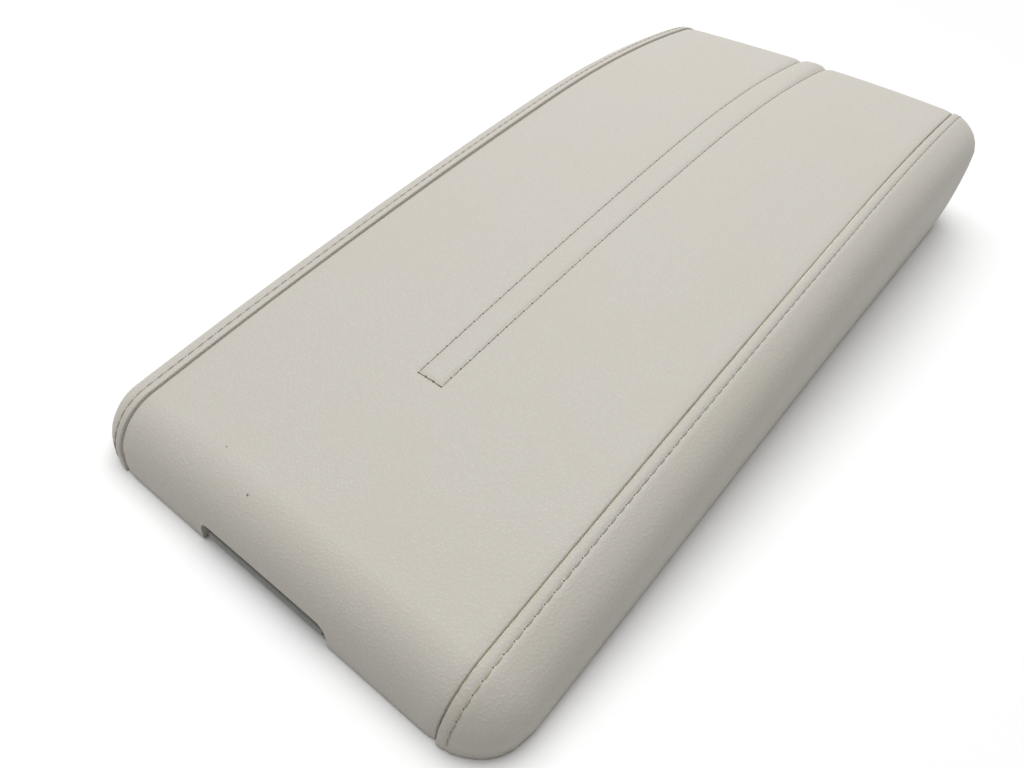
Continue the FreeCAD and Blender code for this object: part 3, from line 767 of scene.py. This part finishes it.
class ARMREST_OT_stitching(bpy.types.Operator):
    """Rows of thread along the seams and the centre strip, with flat discs of painted shade at the holes
    between stitches
    """
    bl_idname = "armrest.stitching"
    bl_label = "Stitching"

    def seam_track(self, side):
        turn = LAP_WIDTH / SIDE_RADIUS

        def track(s):
            point, normal = FORM.roll(s, turn)
            point = settle(point + normal * side_relief(s, LAP_WIDTH))
            return Vector((side * point.x, point.y, point.z)), Vector((side * normal.x, normal.y, normal.z))
        return track

    def strip_track(self, side):
        def track(s):
            x = side * strip_half(FORM.profile(s)[0])
            point, normal = FORM.top(s, x)
            return settle(point + normal * top_relief(s, x)), normal
        return track

    def strip_start(self):
        front = [s for s in seam_rows() if s <= FORM.length / 2]
        return min(front, key=lambda s: abs(FORM.profile(s)[0] - STRIP_START_Y))

    def cross_track(self):
        s = self.strip_start()

        def track(x):
            point, normal = FORM.top(s, x)
            return point + normal * top_relief(s, x), normal
        return track

    def execute(self, context):
        settings = context.scene.armrest_stitching
        thread = material("sewing thread", thread_finish)
        # Painted shade: dark discs stand in for the shadow inside the holes between stitches
        dark = material("needle hole shade", hole_shade_finish)
        wide = settings.radius
        fine = FINE_THREAD_SHARE * settings.radius
        begin = self.strip_start()
        half = STRIP_FRONT_HALF
        last = FORM.length - ROW_MARGIN
        seam = (ROW_MARGIN, last, settings.seam_pitch, SEAM_STITCH_SHARE, wide)
        strip = (begin, last, settings.strip_pitch, STRIP_STITCH_SHARE, fine)
        rows = [
            ("left_seam", self.seam_track(-1), *seam),
            ("right_seam", self.seam_track(1), *seam),
            ("strip_left", self.strip_track(-1), *strip),
            ("strip_right", self.strip_track(1), *strip),
            ("strip_end", self.cross_track(), -half, half, 2 * half / 3, STRIP_STITCH_SHARE, fine),
        ]
        for name, track, start, end, pitch, share, radius in rows:
            stitches, holes = row_places(track, start, end, pitch)
            stitch = stitch_shape(pitch * share, radius)
            hole = hole_shape((STRIP_HOLE_SHARE if radius == fine else SEAM_HOLE_SHARE) * fine)
            lay_copies(name + "_stitches", stitch, stitches).data.materials.append(thread)
            lay_copies(name + "_needle_hole_shades", hole, holes).data.materials.append(dark)
        return {"FINISHED"}


class ARMREST_OT_hardware(bpy.types.Operator):
    """Finishes for the core, liner, latch and hinge"""
    bl_idname = "armrest.hardware"
    bl_label = "Hardware finishes"

    def execute(self, context):
        finishes = {
            "foam": foam_finish(),
            "core_plastic": plastic_finish("core plastic", (0.045, 0.045, 0.046), 0.55),
            "liner_plastic": plastic_finish("liner plastic", (0.15, 0.15, 0.14), 0.6),
            "latch_plastic": plastic_finish("latch plastic", (0.185, 0.188, 0.172), 0.5),
            "rubber": plastic_finish("stop rubber", (0.028, 0.028, 0.028), 0.8, 1400.0),
            "bush_plastic": plastic_finish("bush nylon", (0.74, 0.71, 0.62), 0.45),
            "hinge_steel": coated_finish("hinge coating", (0.03, 0.03, 0.032)),
            "screw_steel": steel_finish("zinc plate", (0.62, 0.60, 0.56), 0.38),
            "spring_steel": steel_finish("spring wire", (0.30, 0.29, 0.28), 0.35),
        }
        for part in frame["record"]["subparts"]:
            if part["material_slot"] not in finishes:
                continue
            data = frame["nodes"][part["node"]].data
            data.materials.clear()
            data.materials.append(finishes[part["material_slot"]])
        return {"FINISHED"}


class ARMREST_OT_stage(bpy.types.Operator):
    """Pale floor, soft light from above and the camera"""
    bl_idname = "armrest.stage"
    bl_label = "Stage"

    def background_rays(self, tree):
        """1 for rays that show the background: the camera's, and those mirrored or bent on their way."""
        path = tree.nodes.new("ShaderNodeLightPath")
        rays = Value(tree, path.outputs["Is Camera Ray"])
        for name in ("Is Glossy Ray", "Is Transmission Ray"):
            rays = rays.math("MAXIMUM", Value(tree, path.outputs[name]))
        return rays

    def floor(self):
        deselect()
        bpy.ops.mesh.primitive_plane_add(size=FLOOR_SIZE)
        floor = bpy.context.object
        floor.name = "floor"
        paper = Finish("pale floor", FLOOR_TONES[0], 0.9, Specular_IOR_Level=0.0)
        mottle = paper.noise(8.0)
        paper.colour(paper.mix(mottle, *FLOOR_TONES))
        white = paper.tree.nodes.new("ShaderNodeEmission")
        blend = paper.tree.nodes.new("ShaderNodeMixShader")
        far = paper.far_from((0.0, 0.0, 0.0)).smooth(*FLOOR_FADE) * self.background_rays(paper.tree)
        paper.tree.links.new(far.socket, blend.inputs[0])
        paper.tree.links.new(paper.shader.outputs[0], blend.inputs[1])
        paper.tree.links.new(white.outputs[0], blend.inputs[2])
        paper.tree.links.new(blend.outputs[0], paper.tree.nodes["Material Output"].inputs["Surface"])
        floor.data.materials.append(paper.material)

    def light(self, settings):
        lamp = bpy.data.lights.new("overhead", "AREA")
        lamp.shape = "RECTANGLE"
        lamp.size, lamp.size_y = LAMP_SIZE
        lamp.energy = settings.key_power
        lamp.color = LAMP_TINT
        obj = bpy.data.objects.new("overhead", lamp)
        obj.location = LAMP_PLACE
        obj.rotation_euler = (Vector((0, 0, 0)) - obj.location).to_track_quat("-Z", "Y").to_euler()
        bpy.context.collection.objects.link(obj)
        world = bpy.data.worlds.new("soft room")
        world.use_nodes = True
        back = world.node_tree.nodes["Background"]
        seen = self.background_rays(world.node_tree)
        tint = world.node_tree.nodes.new("ShaderNodeMix")
        tint.data_type = "RGBA"
        tint.inputs[6].default_value = (*FILL_TINT, 1.0)
        tint.inputs[7].default_value = (1.0, 1.0, 1.0, 1.0)
        strength = seen * (1 - settings.fill) + settings.fill
        world.node_tree.links.new(seen.socket, tint.inputs[0])
        world.node_tree.links.new(tint.outputs[2], back.inputs["Color"])
        world.node_tree.links.new(strength.socket, back.inputs["Strength"])
        bpy.context.scene.world = world

    def camera(self, settings):
        az, el, roll = settings.azimuth, settings.elevation, settings.roll
        back = Vector((math.sin(az) * math.cos(el), -math.cos(az) * math.cos(el), math.sin(el)))
        right = (-back).cross(Vector((0, 0, 1))).normalized()
        up = right.cross(-back).normalized()
        x = math.cos(roll) * right + math.sin(roll) * up
        y = math.cos(roll) * up - math.sin(roll) * right
        data = bpy.data.cameras.new("photo camera")
        data.lens = settings.lens
        data.sensor_width = SENSOR_WIDTH
        data.sensor_fit = "HORIZONTAL"
        data.clip_start = 0.01
        obj = bpy.data.objects.new("photo camera", data)
        obj.matrix_world = Matrix.Translation(settings.camera) @ Matrix((x, y, back)).transposed().to_4x4()
        bpy.context.collection.objects.link(obj)
        bpy.context.scene.camera = obj

    def execute(self, context):
        settings = context.scene.armrest_stage
        self.floor()
        self.light(settings)
        self.camera(settings)
        context.scene.view_settings.view_transform = "Standard"
        return {"FINISHED"}


class ARMREST_PT_panel(bpy.types.Panel):
    """Sidebar panel with the sizes, colours and steps"""
    bl_idname = "ARMREST_PT_panel"
    bl_label = "Armrest lid"
    bl_space_type = "VIEW_3D"
    bl_region_type = "UI"
    bl_category = "Armrest"

    def draw(self, context):
        for group in (getattr(context.scene, name) for name in GROUPS):
            for name in group.__annotations__:
                self.layout.prop(group, name)
        for operator in STEPS:
            self.layout.operator(operator.bl_idname)


STEPS = (
    ARMREST_OT_top_cover,
    ARMREST_OT_side_covers,
    ARMREST_OT_stitching,
    ARMREST_OT_hardware,
    ARMREST_OT_stage,
)
GROUPS = {
    "armrest_leather": ArmrestLeather,
    "armrest_stitching": ArmrestStitching,
    "armrest_stage": ArmrestStage,
}


def register():
    for cls in (*GROUPS.values(), *STEPS, ARMREST_PT_panel):
        bpy.utils.register_class(cls)
    for name, group in GROUPS.items():
        setattr(bpy.types.Scene, name, PointerProperty(type=group))


def unregister():
    for name in GROUPS:
        delattr(bpy.types.Scene, name)
    for cls in reversed((*GROUPS.values(), *STEPS, ARMREST_PT_panel)):
        bpy.utils.unregister_class(cls)


def main():
    register()
    bpy.ops.armrest.top_cover()
    bpy.ops.armrest.side_covers()
    bpy.ops.armrest.stitching()
    bpy.ops.armrest.hardware()
    bpy.ops.armrest.stage()


if __name__ == "__main__":
    main()
